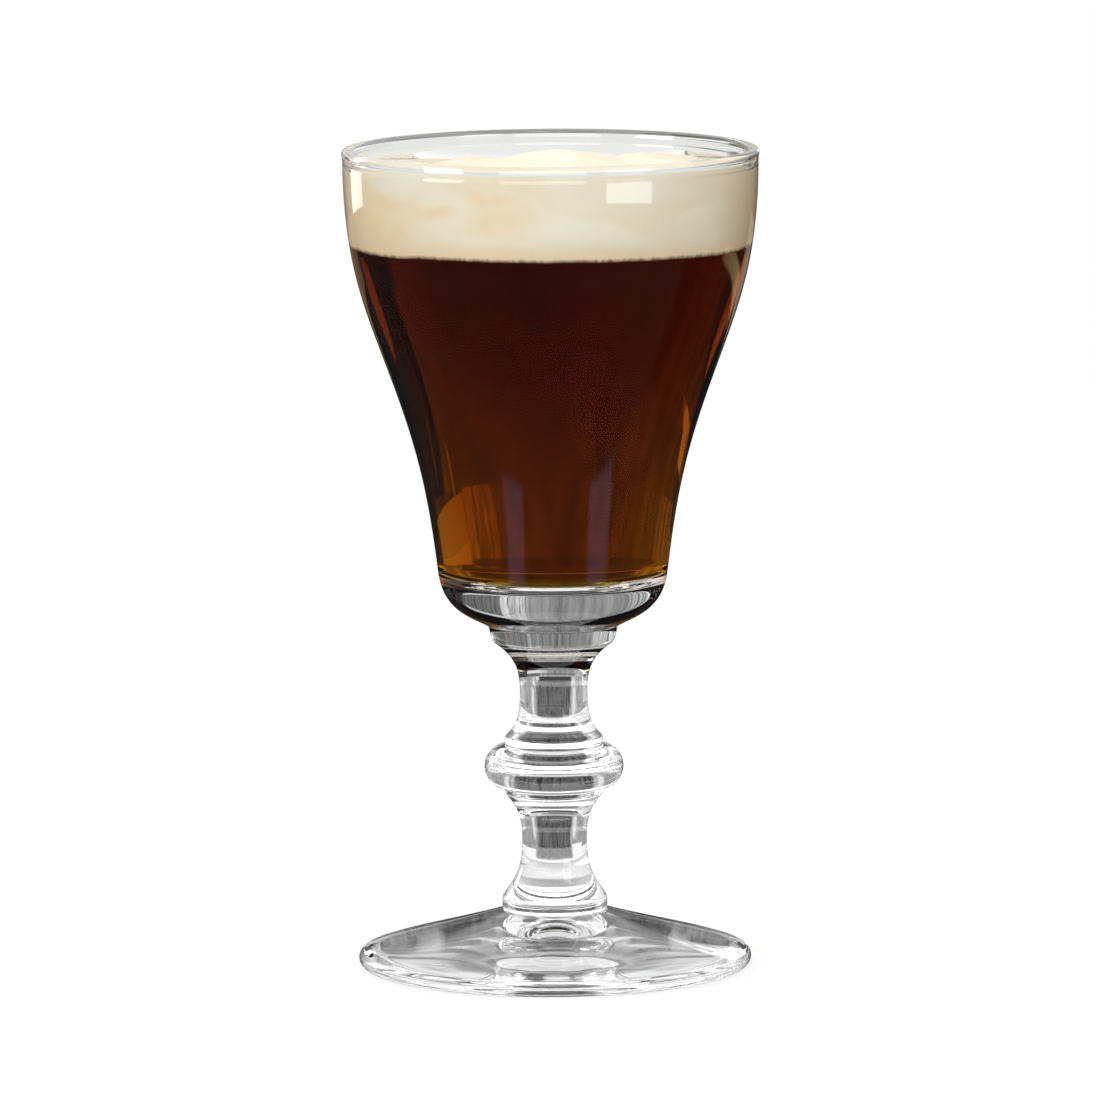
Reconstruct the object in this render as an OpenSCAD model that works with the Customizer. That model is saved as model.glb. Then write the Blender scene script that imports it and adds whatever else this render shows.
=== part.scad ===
// Irish coffee glass, filled with coffee under a thick layer of cream.
// A tulip bowl stands on a short pressed stem with a knop, and the stem on a round foot.
// The origin is the centre of the flat ring that the foot stands on, and +Z runs up the axis.
// All sizes are in millimetres, and all angles in degrees.

/* [Foot] */
// Diameter of the foot
foot_d = 68.2; // [60:0.2:80]
// Height of the foot, up to the face that carries the stem
foot_h = 9.65; // [8:0.05:13]
// Thickness of the foot at its rounded edge
foot_edge_t = 2.7; // [2:0.1:4]
// Depth of the rounding on that edge, measured inwards
foot_edge_round = 1.3; // [0.8:0.1:3]
// Width of the flat ring that the foot stands on
rest_ring_w = 3; // [1.5:0.5:6]
// Height of the cone-shaped hollow under the middle of the foot
hollow_h = 5.4; // [3:0.1:6.2]
// Slope of the foot's top beside the stem
foot_top_slope = 19; // [14:1:24]
// Slope of the foot's top beside its edge
foot_rim_slope = 22; // [14:1:28]

/* [Stem] */
// Diameter of the ring at the bottom of the stem
base_ring_d = 18.2; // [16:0.1:22]
// Height of that ring
base_ring_h = 2.25; // [1:0.05:3]
// Diameter of the lower neck at its waist
lower_neck_d = 11.2; // [9:0.1:14]
// Length of the lower neck, between its two rings
lower_neck_l = 18.1; // [14:0.1:24]
// Diameter of the small ring under and over the knop
knop_ring_d = 16.9; // [14.5:0.1:19]
// Height of the ring under the knop
lower_ring_h = 1.1; // [0.6:0.05:2]
// Height of the ring over the knop
upper_ring_h = 1.6; // [0.6:0.05:2.4]
// Diameter of the knop
knop_d = 24.1; // [20:0.1:28]
// Height of the knop
knop_h = 7.4; // [6:0.1:10]
// Diameter of the upper neck at its waist
upper_neck_d = 11.7; // [9:0.1:14]
// Length of the upper neck, from the knop's ring to the collar
upper_neck_l = 16.7; // [12:0.1:22]
// Diameter of the collar at its lower edge
collar_foot_d = 21.2; // [18:0.1:24]
// Diameter of the collar at its top, where it carries the bowl
collar_d = 22.5; // [20:0.1:26]
// Height of the collar's band
collar_h = 2.65; // [1.5:0.05:4]

/* [Bowl] */
// Diameter of the bowl's wall under the lip
bowl_d = 71.7; // [64:0.1:80]
// Height of the bowl, from the collar to the top of the lip
bowl_h = 83; // [74:0.5:92]
// Diameter of the bowl at its flank, where the taper is straight
flank_d = 53.2; // [48:0.2:60]
// Height of the flank over the collar
flank_h = 39.9; // [34:0.1:46]
// Lean of the wall at the flank, from the vertical
flank_lean = 19.2; // [14:0.1:24]
// Diameter of the bowl at its heel, over the round bottom
heel_d = 39.8; // [34:0.2:45]
// Height of the heel over the collar
heel_h = 9.6; // [7:0.1:12]
// Lean of the wall at the heel, from the vertical
heel_lean = 6.9; // [3:0.1:12]
// Lean of the round bottom where it meets the collar, from the vertical
seat_lean = 58; // [40:1:65]
// Thickness of the bowl's wall
wall_t = 1.6; // [1.2:0.1:2.4]
// How far the fire-polished lip stands proud of the wall, on both sides
lip_proud = 0.15; // [0:0.05:0.5]
// Thickness of the solid glass under the drink
base_t = 7.4; // [5:0.1:9]
// Height of the rounding between the inner wall and the floor
floor_round_h = 4.6; // [2.5:0.1:7]

/* [Drink] */
// How far the flat of the cream lies below the top of the lip
brim_gap = 3.1; // [2.5:0.1:12]
// Thickness of the layer of cream
cream_h = 14.3; // [6:0.1:24]
// Height of the tallest soft mound on the cream
mound_h = 1.3; // [0.5:0.1:1.6]

/* [Hidden] */
$fn = 96;

// Straight pieces in each curve of an outline
curve_steps = 12;
// Straight pieces in the round of the lip
lip_steps = 16;
// How far a mound's round reaches down into the cream, so that the two are one
mound_sunk = 1;

foot_r = foot_d / 2;
base_ring_r = base_ring_d / 2;
lower_neck_r = lower_neck_d / 2;
knop_ring_r = knop_ring_d / 2;
knop_r = knop_d / 2;
upper_neck_r = upper_neck_d / 2;
collar_foot_r = collar_foot_d / 2;
collar_r = collar_d / 2;
bowl_r = bowl_d / 2;
flank_r = flank_d / 2;
heel_r = heel_d / 2;
lip_r = wall_t / 2 + lip_proud;

// Heights over the table, stacked from the foot to the lip
lower_neck_z = foot_h + base_ring_h;
lower_ring_z = lower_neck_z + lower_neck_l;
knop_z = lower_ring_z + lower_ring_h;
upper_ring_z = knop_z + knop_h;
upper_neck_z = upper_ring_z + upper_ring_h;
collar_z = upper_neck_z + upper_neck_l;
bowl_z = collar_z + collar_h;
heel_z = bowl_z + heel_h;
flank_z = bowl_z + flank_h;
lip_z = bowl_z + bowl_h - lip_r;
wall_top_z = lip_z - sqrt(pow(lip_r, 2) - pow(wall_t / 2, 2));
floor_z = bowl_z + base_t;
cream_z = bowl_z + bowl_h - brim_gap;
coffee_z = cream_z - cream_h;

// Where each neck is thinnest, as a share of its length from below
lower_waist_share = 0.57;
upper_waist_share = 0.45;
// How far each flare of a neck is drawn: along the radius, along the axis, and beside the waist
base_flare_shares = [0.74, 0.36, 0.5];
lower_ring_flare_shares = [0.76, 0.3, 0.42];
upper_ring_flare_shares = [0.74, 0.2, 0.5];
collar_flare_shares = [0.84, 0.3, 0.46];
// How far the curves of the foot's top run on, as shares of its width
foot_curve_shares = [0.33, 0.13];
// How far the curves of the hollow run on, as shares of its radius
hollow_curve_shares = [0.35, 0.2];
// How high the hollow's first curve rises, as a share of its height
hollow_rise_share = 0.41;
// How far the bowl's curves run on at the ends of each stretch, as shares of its height
shoulder_shares = [0.476, 0.343];
flank_shares = [0.357, 0.393];
bottom_shares = [0.74, 0.2];
// How far the floor's curve runs on: down the wall, and from the axis outwards
floor_shares = [0.85, 0.8];
// Soft mounds on the cream: place across and back, and radius, as shares of the cream's radius,
// and height as a share of the tallest mound
mound_shares = [
    [0.05, 0.6, 0.34, 1],
    [0.46, 0.48, 0.3, 0.7],
    [-0.5, 0.42, 0.32, 0.5],
    [-0.62, -0.06, 0.28, 0.45],
];

// One point of a cubic curve with two end points and two pull points
function curve_point(ends, t) =
    pow(1 - t, 3) * ends[0]
    + 3 * t * pow(1 - t, 2) * ends[1]
    + 3 * pow(t, 2) * (1 - t) * ends[2]
    + pow(t, 3) * ends[3];

// Direction of such a curve at the same place
function curve_way(ends, t) =
    pow(1 - t, 2) * (ends[1] - ends[0])
    + 2 * t * (1 - t) * (ends[2] - ends[1])
    + pow(t, 2) * (ends[3] - ends[2]);

// The points of such a curve after its first one
function curve(ends) = [for (i = [1:curve_steps]) curve_point(ends, i / curve_steps)];

// The same points, moved to the left of the curve's way by a distance
function curve_beside(ends, distance) = [
    for (i = [1:curve_steps])
        let (way = curve_way(ends, i / curve_steps))
        curve_point(ends, i / curve_steps) + distance * [-way[1], way[0]] / norm(way)
];

// A step along a wall that leans outwards as it rises
function along_wall(lean, rise) = [tan(lean), 1] * rise;

// The curve of a neck from the ring at one end to its waist
function flare_in(ring, waist, shares) = curve([
    ring,
    ring + [(waist[0] - ring[0]) * shares[0], (waist[1] - ring[1]) * shares[1]],
    waist + [0, (ring[1] - waist[1]) * shares[2]],
    waist,
]);

// The curve of a neck from its waist to the ring at the other end
function flare_out(waist, ring, shares) = curve([
    waist,
    waist + [0, (ring[1] - waist[1]) * shares[2]],
    ring + [(waist[0] - ring[0]) * shares[0], (waist[1] - ring[1]) * shares[1]],
    ring,
]);

// The three curves of the bowl's outside, from the lip down to the collar
shoulder_ends = [
    [bowl_r, wall_top_z],
    [bowl_r, wall_top_z - (wall_top_z - flank_z) * shoulder_shares[0]],
    [flank_r, flank_z] + along_wall(flank_lean, (wall_top_z - flank_z) * shoulder_shares[1]),
    [flank_r, flank_z],
];
flank_ends = [
    [flank_r, flank_z],
    [flank_r, flank_z] - along_wall(flank_lean, (flank_z - heel_z) * flank_shares[0]),
    [heel_r, heel_z] + along_wall(heel_lean, (flank_z - heel_z) * flank_shares[1]),
    [heel_r, heel_z],
];
bottom_ends = [
    [heel_r, heel_z],
    [heel_r, heel_z] - along_wall(heel_lean, heel_h * bottom_shares[0]),
    [collar_r, bowl_z] + along_wall(seat_lean, heel_h * bottom_shares[1]),
    [collar_r, bowl_z],
];

// The inside of the wall, from the lip down to where the floor's rounding starts
inner_wall = concat(
    [[bowl_r - wall_t, wall_top_z]],
    curve_beside(shoulder_ends, -wall_t),
    curve_beside(flank_ends, -wall_t)
);
inner_radii = [for (p = inner_wall) [p[1], p[0]]];
floor_edge_z = floor_z + floor_round_h;
floor_edge_r = lookup(floor_edge_z, inner_radii);
floor_ends = [
    [floor_edge_r, floor_edge_z],
    [floor_edge_r, floor_edge_z] - along_wall(heel_lean, floor_round_h * floor_shares[0]),
    [floor_edge_r * floor_shares[1], floor_z],
    [0, floor_z],
];
coffee_r = lookup(coffee_z, inner_radii);
cream_r = lookup(cream_z, inner_radii);

// The inner wall between two heights, from the top down, without its ends
function wall_between(top_z, bottom_z) = [
    for (p = inner_wall)
        if (p[1] < top_z && p[1] > bottom_z) p
];

// The round lip, from its outer side over the top to its inner side
function lip_outline() =
    let (start = -acos(wall_t / 2 / lip_r))
    [
        for (i = [0:lip_steps])
            let (turn = start + (180 - 2 * start) * i / lip_steps)
            [bowl_r - wall_t / 2 + lip_r * cos(turn), lip_z + lip_r * sin(turn)]
    ];

// A lens that stands on its flat side, for one mound of cream
module mound(radius, height, sunk) {
    ball_r = (pow(radius, 2) + pow(height, 2)) / (2 * height);
    spread = asin(radius / ball_r);
    rotate_extrude()
        polygon(concat(
            [[0, -sunk], [radius, -sunk]],
            [
                for (i = [0:curve_steps])
                    let (turn = spread * (1 - i / curve_steps))
                    [ball_r * sin(turn), height - ball_r * (1 - cos(turn))]
            ]
        ));
}

// Round foot: a low cone with a rounded edge, hollow underneath, on a flat ring
module foot() {
    edge_r = foot_r - foot_edge_round;
    hollow_r = edge_r - rest_ring_w;
    top_w = edge_r - base_ring_r;
    top_ends = [
        [base_ring_r, foot_h],
        [base_ring_r, foot_h] + [1, -tan(foot_top_slope)] * top_w * foot_curve_shares[0],
        [edge_r, foot_edge_t] + [-1, tan(foot_rim_slope)] * top_w * foot_curve_shares[1],
        [edge_r, foot_edge_t],
    ];
    hollow_ends = [
        [hollow_r, 0],
        [hollow_r * (1 - hollow_curve_shares[0]), hollow_h * hollow_rise_share],
        [hollow_r * hollow_curve_shares[1], hollow_h],
        [0, hollow_h],
    ];
    color("#cdd2d4")
        rotate_extrude()
            polygon(concat(
                [[0, foot_h], [base_ring_r, foot_h]],
                curve(top_ends),
                [
                    for (i = [1:curve_steps])
                        let (turn = 90 - 180 * i / curve_steps)
                        [edge_r + foot_edge_round * cos(turn), foot_edge_t / 2 * (1 + sin(turn))]
                ],
                [[hollow_r, 0]],
                curve(hollow_ends)
            ));
}

// Pressed stem: base ring, lower neck, knop between two rings, upper neck and collar in one piece
module stem() {
    lower_waist = [lower_neck_r, lower_neck_z + lower_neck_l * lower_waist_share];
    upper_waist = [upper_neck_r, upper_neck_z + upper_neck_l * upper_waist_share];
    color("#e4e8ea")
        rotate_extrude()
            polygon(concat(
                [[0, foot_h], [base_ring_r, foot_h], [base_ring_r, lower_neck_z]],
                flare_in([base_ring_r, lower_neck_z], lower_waist, base_flare_shares),
                flare_out(lower_waist, [knop_ring_r, lower_ring_z], lower_ring_flare_shares),
                [
                    for (i = [0:2 * curve_steps])
                        let (turn = -90 + 90 * i / curve_steps)
                        [
                            knop_ring_r + (knop_r - knop_ring_r) * cos(turn),
                            knop_z + knop_h / 2 * (1 + sin(turn))
                        ]
                ],
                [[knop_ring_r, upper_neck_z]],
                flare_in([knop_ring_r, upper_neck_z], upper_waist, upper_ring_flare_shares),
                flare_out(upper_waist, [collar_foot_r, collar_z], collar_flare_shares),
                [[collar_r, bowl_z], [0, bowl_z]]
            ));
}

// Blown bowl: thin wall, fire-polished lip, round bottom of solid glass
module bowl() {
    color("#dfe5e8", 0.45)
        rotate_extrude()
            polygon(concat(
                [[0, bowl_z], [collar_r, bowl_z]],
                [for (i = [curve_steps - 1:-1:0]) curve_point(bottom_ends, i / curve_steps)],
                [for (i = [curve_steps - 1:-1:0]) curve_point(flank_ends, i / curve_steps)],
                [for (i = [curve_steps - 1:-1:1]) curve_point(shoulder_ends, i / curve_steps)],
                lip_outline(),
                wall_between(wall_top_z, floor_edge_z),
                [[floor_edge_r, floor_edge_z]],
                curve(floor_ends)
            ));
}

// Coffee: fills the bowl from its floor to the underside of the cream
module coffee() {
    color("#2e1208")
        rotate_extrude()
            polygon(concat(
                [[0, coffee_z], [coffee_r, coffee_z]],
                wall_between(coffee_z, floor_edge_z),
                [[floor_edge_r, floor_edge_z]],
                curve(floor_ends)
            ));
}

// Cream: a thick layer that floats on the coffee, with soft mounds on its top
module cream() {
    color("#e8d9b8")
        union() {
            rotate_extrude()
                polygon(concat(
                    [[0, cream_z], [cream_r, cream_z]],
                    wall_between(cream_z, coffee_z),
                    [[coffee_r, coffee_z], [0, coffee_z]]
                ));
            for (share = mound_shares)
                translate([cream_r * share[0], cream_r * share[1], cream_z])
                    mound(cream_r * share[2], mound_h * share[3], mound_sunk);
        }
}

foot();
stem();
bowl();
coffee();
cream();
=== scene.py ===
# %% [markdown]
# An irish coffee glass, dressed in Blender around its measured frame.
# The real thing is a thin blown bowl on a pressed stem and a round foot. It holds
# black coffee with a thick layer of soft cream floating on it. Nothing on it moves,
# so the work here is optical: clean glass, a drink that glows red where it is thin,
# and cream that is soft, ivory and a little uneven. Each cell makes one thing.

# %% Load the frame
import math

import bmesh
import bpy
from mathutils import Matrix, Vector, noise


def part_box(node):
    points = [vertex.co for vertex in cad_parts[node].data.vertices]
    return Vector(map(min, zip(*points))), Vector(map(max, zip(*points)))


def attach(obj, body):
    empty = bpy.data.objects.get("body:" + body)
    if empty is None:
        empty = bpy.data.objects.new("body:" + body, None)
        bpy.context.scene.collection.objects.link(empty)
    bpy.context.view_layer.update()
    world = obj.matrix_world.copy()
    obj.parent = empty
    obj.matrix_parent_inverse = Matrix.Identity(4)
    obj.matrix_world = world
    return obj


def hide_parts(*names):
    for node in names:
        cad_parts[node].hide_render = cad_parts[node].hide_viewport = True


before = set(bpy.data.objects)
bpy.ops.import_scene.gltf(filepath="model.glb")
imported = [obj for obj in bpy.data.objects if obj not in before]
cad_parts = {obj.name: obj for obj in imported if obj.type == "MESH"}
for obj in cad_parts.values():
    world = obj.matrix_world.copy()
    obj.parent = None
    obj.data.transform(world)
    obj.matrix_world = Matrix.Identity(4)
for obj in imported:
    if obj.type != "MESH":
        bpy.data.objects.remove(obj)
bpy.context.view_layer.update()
BODY = "root"

# %% [markdown]
# Every size below is in metres, because the frame is. The heights of the pieces come
# from the frame's own boxes, so they can't drift from the solids. The values between
# those heights, such as the bowl's flank, are the same design values that the solids
# were drawn with, written in millimetres times MM.

# %% Heights and widths from the frame
MM = 0.001
_, foot_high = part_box("foot")
stem_low, stem_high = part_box("stem")
_, bowl_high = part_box("bowl")
coffee_low, coffee_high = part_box("coffee")
cream_low, cream_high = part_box("cream")

FOOT_R = foot_high.x
FOOT_TOP = stem_low.z
BOWL_BASE = stem_high.z
RIM_R = bowl_high.x
RIM_TOP = bowl_high.z
FLOOR_Z = coffee_low.z
SPLIT_Z = coffee_high.z
print("foot radius", round(FOOT_R, 5), "rim radius", round(RIM_R, 5), "split height", round(SPLIT_Z, 5))
print("cream from", round(cream_low.z, 5), "to", round(cream_high.z, 5))

# %% Sizes inside the outline
FOOT_EDGE_T = 2.7 * MM
FOOT_EDGE_ROUND = 1.3 * MM
REST_RING_W = 3 * MM
HOLLOW_H = 5.4 * MM
HOLLOW_RISE = 2.21 * MM
FOOT_TOP_SLOPE = math.radians(19)
FOOT_RIM_SLOPE = math.radians(22)
BASE_RING_R = 9.1 * MM
BASE_RING_H = 2.25 * MM
LOWER_NECK_R = 5.6 * MM
LOWER_NECK_L = 18.1 * MM
KNOP_RING_R = 8.45 * MM
LOWER_RING_H = 1.1 * MM
UPPER_RING_H = 1.6 * MM
KNOP_R = stem_high.x
KNOP_H = 7.4 * MM
UPPER_NECK_R = 5.85 * MM
UPPER_NECK_L = 16.7 * MM
COLLAR_FOOT_R = 10.6 * MM
COLLAR_R = 11.25 * MM
WALL_T = 1.6 * MM
LIP_PROUD = 0.15 * MM
LIP_R = WALL_T / 2 + LIP_PROUD
WALL_R = RIM_R - LIP_PROUD
LIP_Z = RIM_TOP - LIP_R
WALL_TOP_Z = LIP_Z - math.sqrt(LIP_R ** 2 - (WALL_T / 2) ** 2)
FLANK_R = 26.6 * MM
FLANK_Z = BOWL_BASE + 39.9 * MM
FLANK_LEAN = math.radians(19.2)
HEEL_R = 19.9 * MM
HEEL_H = 9.6 * MM
HEEL_Z = BOWL_BASE + HEEL_H
HEEL_LEAN = math.radians(6.9)
SEAT_LEAN = math.radians(58)
FLOOR_ROUND_H = 4.6 * MM
BRIM_GAP = 3.1 * MM
CREAM_Z = RIM_TOP - BRIM_GAP
print("heights: lip", round(LIP_Z, 5), "flank", round(FLANK_Z, 5), "heel", round(HEEL_Z, 5))

# %% [markdown]
# All three pieces of glass are turned about one axis, so each is one outline spun
# round. An outline is a list of (radius, height) points. Its long sweeps are cubic
# curves with two pull points, and its corners get a tiny round, because pressed and
# fire-polished glass has no truly sharp edge, and that round catches a thin highlight.

# %% Helpers for outlines
CLEAR_OF_CORNER = 1.01


def curve(start, pull_a, pull_b, end, steps=26):
    """Points of a cubic curve after its first one."""
    points = []
    for i in range(1, steps + 1):
        t = i / steps
        weights = ((1 - t) ** 3, 3 * t * (1 - t) ** 2, 3 * t ** 2 * (1 - t), t ** 3)
        ends = (start, pull_a, pull_b, end)
        points.append(tuple(sum(w * e[k] for w, e in zip(weights, ends)) for k in (0, 1)))
    return points


def arc(centre, reach_r, reach_z, from_deg, to_deg, steps=20):
    """Points of an elliptic arc, both ends included."""
    points = []
    for i in range(steps + 1):
        turn = math.radians(from_deg + (to_deg - from_deg) * i / steps)
        points.append((centre[0] + reach_r * math.cos(turn), centre[1] + reach_z * math.sin(turn)))
    return points


def walk(path, reach):
    """The point that lies a distance along a path from its first point."""
    left = reach
    for a, b in zip(path, path[1:]):
        step = math.dist(a, b)
        if step >= left:
            share = left / step
            return (a[0] + (b[0] - a[0]) * share, a[1] + (b[1] - a[1]) * share)
        left -= step
    return path[-1]


def soften(points, corner, reach, steps=6):
    """The outline with one sharp corner replaced by a small round."""
    at = min(range(len(points)), key=lambda i: math.dist(points[i], corner))
    start = walk(points[at::-1], reach)
    end = walk(points[at:], reach)
    middle = []
    for i in range(steps + 1):
        t = i / steps
        middle.append(tuple(
            (1 - t) ** 2 * start[k] + 2 * t * (1 - t) * points[at][k] + t ** 2 * end[k]
            for k in (0, 1)
        ))
    before = [p for p in points[:at] if math.dist(p, points[at]) > reach * CLEAR_OF_CORNER]
    after = [p for p in points[at + 1:] if math.dist(p, points[at]) > reach * CLEAR_OF_CORNER]
    return before + middle + after


def line(start, end, steps):
    """Points of a straight stretch after its first one."""
    return [
        (start[0] + (end[0] - start[0]) * i / steps, start[1] + (end[1] - start[1]) * i / steps)
        for i in range(1, steps + 1)
    ]


# %% [markdown]
# The lathe is a Geometry Nodes tree, because turning one outline into a body is a rule.
# A grid has one row of points for each point of the outline and one column for each
# step round the axis. Each grid point reads its outline point by its row, and is turned
# about Z by its column. The seam and the two poles are then merged shut.

# %% Helpers for node trees
def new_node(tree, kind, values=None, operation=None):
    """A new node, with values for some of its inputs by their names or numbers."""
    node = tree.nodes.new(kind)
    if operation:
        node.operation = operation
    for name, value in (values or {}).items():
        node.inputs[name].default_value = value
    return node


def join(source, target):
    """Links two sockets of one tree."""
    source.id_data.links.new(source, target)


def wire(source, output, target, entry):
    """Links an output of one node to an input of another, by their names or numbers."""
    join(source.outputs[output], target.inputs[entry])


# %% Build the lathe
SEAM_GAP = 1e-6


def build_lathe():
    """A tree that spins the outline of a mesh about Z, with named inputs."""
    tree = bpy.data.node_groups.new("glass_lathe", "GeometryNodeTree")
    for name, kind in (("Outline", "Geometry"), ("Segments", "Int"), ("Material", "Material")):
        tree.interface.new_socket(name, in_out="INPUT", socket_type="NodeSocket" + kind)
    tree.interface.new_socket("Solid", in_out="OUTPUT", socket_type="NodeSocketGeometry")
    given = new_node(tree, "NodeGroupInput")
    result = new_node(tree, "NodeGroupOutput")
    count = new_node(tree, "GeometryNodeAttributeDomainSize")
    columns = new_node(tree, "FunctionNodeIntegerMath", {1: 1}, "ADD")
    grid = new_node(tree, "GeometryNodeMeshGrid")
    index = new_node(tree, "GeometryNodeInputIndex")
    row = new_node(tree, "FunctionNodeIntegerMath", operation="DIVIDE_FLOOR")
    column = new_node(tree, "FunctionNodeIntegerMath", operation="MODULO")
    place = new_node(tree, "GeometryNodeInputPosition")
    read = new_node(tree, "GeometryNodeSampleIndex")
    read.data_type = "FLOAT_VECTOR"
    share = new_node(tree, "ShaderNodeMath", operation="DIVIDE")
    turn = new_node(tree, "ShaderNodeMath", {1: math.tau}, "MULTIPLY")
    spin = new_node(tree, "ShaderNodeVectorRotate")
    spin.rotation_type = "Z_AXIS"
    move = new_node(tree, "GeometryNodeSetPosition")
    merge = new_node(tree, "GeometryNodeMergeByDistance", {"Distance": SEAM_GAP})
    smooth = new_node(tree, "GeometryNodeSetShadeSmooth")
    real = new_node(tree, "GeometryNodeRealizeInstances")
    paint = new_node(tree, "GeometryNodeSetMaterial")
    wire(given, "Outline", count, "Geometry")
    wire(given, "Segments", columns, 0)
    wire(count, "Point Count", grid, "Vertices X")
    wire(columns, 0, grid, "Vertices Y")
    wire(index, 0, row, 0)
    wire(columns, 0, row, 1)
    wire(index, 0, column, 0)
    wire(columns, 0, column, 1)
    wire(given, "Outline", read, "Geometry")
    wire(place, 0, read, "Value")
    wire(row, 0, read, "Index")
    wire(column, 0, share, 0)
    wire(given, "Segments", share, 1)
    wire(share, 0, turn, 0)
    wire(read, 0, spin, "Vector")
    wire(turn, 0, spin, "Angle")
    wire(grid, "Mesh", move, "Geometry")
    wire(spin, 0, move, "Position")
    wire(move, 0, merge, "Geometry")
    wire(merge, 0, smooth, "Geometry")
    wire(smooth, 0, real, "Geometry")
    wire(real, 0, paint, "Geometry")
    wire(given, "Material", paint, "Material")
    wire(paint, 0, result, "Solid")
    return tree


LATHE = build_lathe()
print("lathe nodes:", len(LATHE.nodes))


# %% Helpers that turn an outline into a piece
DOUBLES_GAP = 1e-7
GLASS_CREASE = math.radians(40)
FULL_TURN_SIDES = 256
STEM_SIDES = 224


def close_up(mesh, gap):
    """Merges doubles and turns every face outwards."""
    work = bmesh.new()
    work.from_mesh(mesh)
    bmesh.ops.remove_doubles(work, verts=work.verts, dist=gap)
    bmesh.ops.recalc_face_normals(work, faces=work.faces)
    open_edges = sum(1 for e in work.edges if len(e.link_faces) != 2)
    work.to_mesh(mesh)
    work.free()
    print(mesh.name, "faces", len(mesh.polygons), "open edges", open_edges)


def add_object(name, mesh):
    """A new object in the scene."""
    thing = bpy.data.objects.new(name, mesh)
    bpy.context.scene.collection.objects.link(thing)
    return thing


def spin_piece(name, outline, segments, material):
    """One closed piece: the outline's points spun about Z by the lathe tree."""
    wire = bpy.data.meshes.new(name + "_outline")
    edges = [(i, i + 1) for i in range(len(outline) - 1)]
    wire.from_pydata([(r, 0, z) for r, z in outline], edges, [])
    blank = add_object(name + "_blank", wire)
    modifier = blank.modifiers.new("lathe", "NODES")
    modifier.node_group = LATHE
    sockets = {s.name: s.identifier for s in LATHE.interface.items_tree if s.in_out == "INPUT"}
    modifier[sockets["Segments"]] = segments
    modifier[sockets["Material"]] = material
    bpy.context.view_layer.update()
    ready = blank.evaluated_get(bpy.context.evaluated_depsgraph_get())
    mesh = bpy.data.meshes.new_from_object(ready)
    mesh.name = name
    blank.modifiers.clear()
    bpy.data.objects.remove(blank)
    close_up(mesh, DOUBLES_GAP)
    mesh.set_sharp_from_angle(angle=GLASS_CREASE)
    return add_object(name, mesh)


# %% [markdown]
# Clear glass is almost all refraction. A plain Principled shader with full
# transmission and the index of soda-lime glass gives it. Real glassware isn't a
# perfect surface, though: pressing and blowing leave faint waves that run up the
# piece, so a very weak bump, stretched along the axis, bends what is seen through it.

# %% Helpers for materials
def new_material(name):
    """An empty node material with its output node."""
    material = bpy.data.materials.new(name)
    material.use_nodes = True
    tree = material.node_tree
    tree.nodes.clear()
    return material, tree, new_node(tree, "ShaderNodeOutputMaterial")


def object_place(tree, scale):
    """Object coordinates with their own scale on each axis."""
    source = new_node(tree, "ShaderNodeTexCoord")
    mapping = new_node(tree, "ShaderNodeMapping", {"Scale": scale})
    wire(source, "Object", mapping, "Vector")
    return mapping.outputs["Vector"]


def noise_texture(tree, place, scale, detail=3.0, roughness=0.5, distortion=0.0):
    """A noise texture read at a place."""
    values = {"Scale": scale, "Detail": detail, "Roughness": roughness, "Distortion": distortion}
    texture = new_node(tree, "ShaderNodeTexNoise", values)
    join(place, texture.inputs["Vector"])
    return texture


def noise_value(*settings, **more):
    """The value of a noise texture."""
    return noise_texture(*settings, **more).outputs["Fac"]


def spread(tree, value, low, high, new_low, new_high):
    """A value moved from one range to another."""
    values = {"From Min": low, "From Max": high, "To Min": new_low, "To Max": new_high}
    node = new_node(tree, "ShaderNodeMapRange", values)
    join(value, node.inputs["Value"])
    return node.outputs["Result"]


def blend_colours(tree, share, colour_a, colour_b):
    """A mix of two colours; each is a socket or a plain colour."""
    node = new_node(tree, "ShaderNodeMix")
    node.data_type = "RGBA"
    join(share, node.inputs["Factor"])
    for socket, colour in ((node.inputs[6], colour_a), (node.inputs[7], colour_b)):
        if isinstance(colour, bpy.types.NodeSocket):
            join(colour, socket)
        else:
            socket.default_value = (*colour, 1)
    return node.outputs[2]


def add_bump(tree, height, strength, distance, shader):
    """Lets a value bump the surface that a shader draws."""
    bump = new_node(tree, "ShaderNodeBump", {"Strength": strength, "Distance": distance})
    join(height, bump.inputs["Height"])
    wire(bump, "Normal", shader, "Normal")


# %% Clear glass, and the faces where two pieces are one
GLASS_IOR = 1.5
GLASS_TINT = (0.985, 0.99, 0.99, 1)
WAVE_HEIGHT = 0.012 * MM
WAVE_SCALE = 90
WAVE_STRETCH = (1, 1, 0.3)


def make_clear_glass(name, wave_height):
    """Clear glass with faint waves drawn up the piece."""
    material, tree, out = new_material(name)
    glass = new_node(tree, "ShaderNodeBsdfPrincipled", {
        "Base Color": GLASS_TINT,
        "Roughness": 0.0,
        "IOR": GLASS_IOR,
        "Transmission Weight": 1.0,
    })
    waves = noise_value(tree, object_place(tree, WAVE_STRETCH), WAVE_SCALE, detail=1.0)
    add_bump(tree, waves, 1.0, wave_height, glass)
    wire(glass, "BSDF", out, "Surface")
    return material


def make_fused():
    """Faces with nothing to see: glass runs on there, or the drink wets it."""
    material, tree, out = new_material("fused_face")
    clear = new_node(tree, "ShaderNodeBsdfTransparent", {"Color": (1, 1, 1, 1)})
    wire(clear, "BSDF", out, "Surface")
    return material


blown_glass = make_clear_glass("blown_glass", WAVE_HEIGHT)
pressed_glass = make_clear_glass("pressed_glass", WAVE_HEIGHT)
fused_face = make_fused()
print("glass:", blown_glass.name, pressed_glass.name, fused_face.name)

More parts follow.
